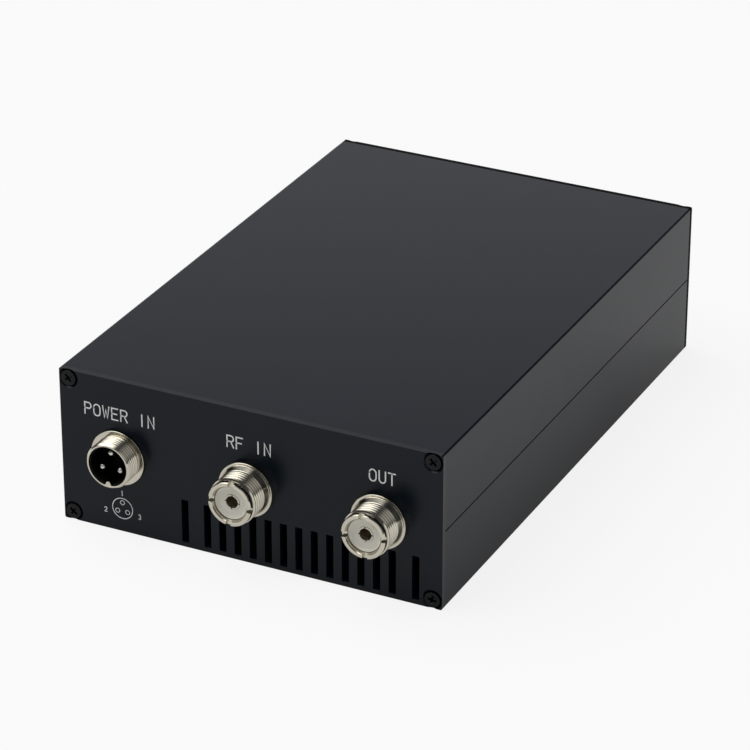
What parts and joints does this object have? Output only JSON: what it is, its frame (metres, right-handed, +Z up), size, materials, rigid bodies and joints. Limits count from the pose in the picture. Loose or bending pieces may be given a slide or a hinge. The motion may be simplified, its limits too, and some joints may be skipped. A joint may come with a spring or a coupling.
{
  "type": "hf linear amplifier",
  "caption": "Low flat box in two extruded halves with a slotted front panel, two threaded coaxial sockets, a round pin inlet and a rear fan.",
  "frame": {"origin": "centre of the enclosure's underside, midway between the outer faces of the two end panels", "axes": "+Y from the front panel to the rear, +Z up, +X to the right as seen from the front"},
  "size_m": [0.134, 0.2144, 0.054],
  "materials": {
    "black_screws": "black oxide",
    "board_laminate": "green solder mask",
    "capacitor_can": "sleeved can",
    "chip_ceramic": "fired",
    "connector_plastic": "cream moulded",
    "copper_wire": "enamelled copper",
    "fan_magnet": "bonded ferrite",
    "fan_plastic": "black moulded",
    "fan_steel": "ground",
    "ferrite": "sintered, matt",
    "inlet_insert": "black moulded",
    "lead_insulation": "soft insulated wire",
    "nickel_plate": "bright nickel plate over brass",
    "pad_silicone": "thin grey silicone",
    "panel_anodised": "fine matt, black anodised",
    "plain_screws": "zinc plated",
    "plate_copper": "tinned copper",
    "powder_core": "painted powder core",
    "relay_base": "black moulded",
    "relay_coil": "wound bobbin on an iron yoke",
    "relay_cover": "blue moulded",
    "relay_iron": "nickel-plated iron",
    "resistor_cement": "white cement body",
    "shell_anodised": "fine-brushed, dark grey anodised",
    "sink_aluminium": "plain extruded",
    "socket_contact": "silver plated",
    "socket_insulator": "pale grey moulded",
    "spacer_brass": "turned",
    "transistor_package": "moulded body on a metal tab",
    "trimmer_body": "blue moulded",
    "trimmer_rotor": "white moulded",
    "tube_brass": "drawn tube",
    "winding_sleeve": "white sleeved strap"
  },
  "bodies": {
    "chassis": {"antenna_socket_body": "nickel_plate", "antenna_socket_contact": "socket_contact", "antenna_socket_insulator": "socket_insulator", "bias_regulator": "transistor_package", "bias_trimmers": "trimmer_body", "board_capacitors": "chip_ceramic", "board_resistors": "resistor_cement", "board_screws": "plain_screws", "board_spacers": "spacer_brass", "bottom_shell": "shell_anodised", "choke_core": "powder_core", "choke_winding": "copper_wire", "dc_inlet_body": "nickel_plate", "dc_inlet_insulator": "inlet_insert", "dc_inlet_nut": "nickel_plate", "dc_inlet_pins": "nickel_plate", "dc_inlet_washer": "nickel_plate", "dc_leads": "lead_insulation", "fan_bearing": "spacer_brass", "fan_connector": "connector_plastic", "fan_frame": "fan_plastic", "fan_leads": "lead_insulation", "fan_screws": "black_screws", "fan_stator": "fan_steel", "final_transistors": "transistor_package", "front_panel": "panel_anodised", "heat_sink": "sink_aluminium", "heat_sink_screws": "black_screws", "input_relay_base": "relay_base", "input_relay_coil": "relay_coil", "input_relay_cover": "relay_cover", "input_socket_body": "nickel_plate", "input_socket_contact": "socket_contact", "input_socket_insulator": "socket_insulator", "input_transformer_core": "ferrite", "input_transformer_winding": "winding_sleeve", "main_board": "board_laminate", "output_relay_base": "relay_base", "output_relay_coil": "relay_coil", "output_relay_cover": "relay_cover", "output_transformer_cores": "ferrite", "output_transformer_end_plates": "plate_copper", "output_transformer_tubes": "tube_brass", "output_transformer_winding": "winding_sleeve", "panel_screws": "black_screws", "rear_panel": "panel_anodised", "rf_leads": "lead_insulation", "socket_nuts": "nickel_plate", "socket_tag_washers": "nickel_plate", "supply_capacitors": "capacitor_can", "top_shell": "shell_anodised", "transistor_pads": "pad_silicone", "transistor_screws": "plain_screws"},
    "fan_rotor": {"fan_impeller": "fan_plastic", "fan_magnet": "fan_magnet", "fan_shaft": "fan_steel"},
    "left_bias_screw": {"left_bias_adjuster": "trimmer_rotor"},
    "right_bias_screw": {"right_bias_adjuster": "trimmer_rotor"},
    "input_armature": {"input_relay_armature": "relay_iron"},
    "output_armature": {"output_relay_armature": "relay_iron"}
  },
  "joints": [
    {"name": "fan_spin", "type": "hinge", "parent": "chassis", "child": "fan_rotor", "pos_m": [0.0177, 0.089, 0.027], "axis": [0, 1, 0], "continuous": true},
    {"name": "left_bias_turn", "type": "hinge", "parent": "chassis", "child": "left_bias_screw", "pos_m": [0.0047, -0.0285, 0.0289], "axis": [0, 0, 1], "range_deg": [-130, 130]},
    {"name": "right_bias_turn", "type": "hinge", "parent": "chassis", "child": "right_bias_screw", "pos_m": [0.0307, -0.0285, 0.0289], "axis": [0, 0, 1], "range_deg": [-130, 130]},
    {"name": "input_relay_pull", "type": "hinge", "parent": "chassis", "child": "input_armature", "pos_m": [0, -0.0487, 0.03765], "axis": [1, 0, 0], "range_deg": [0, 3.5], "stiffness_Nm_per_rad": 0.003, "springref_deg": -2.86},
    {"name": "output_relay_pull", "type": "hinge", "parent": "chassis", "child": "output_armature", "pos_m": [0.046, -0.0487, 0.03765], "axis": [1, 0, 0], "range_deg": [0, 3.5], "stiffness_Nm_per_rad": 0.003, "springref_deg": -2.86}
  ],
  "couplings": [
    {"joint": "output_relay_pull", "follows": "input_relay_pull", "ratio": 1}
  ]
}
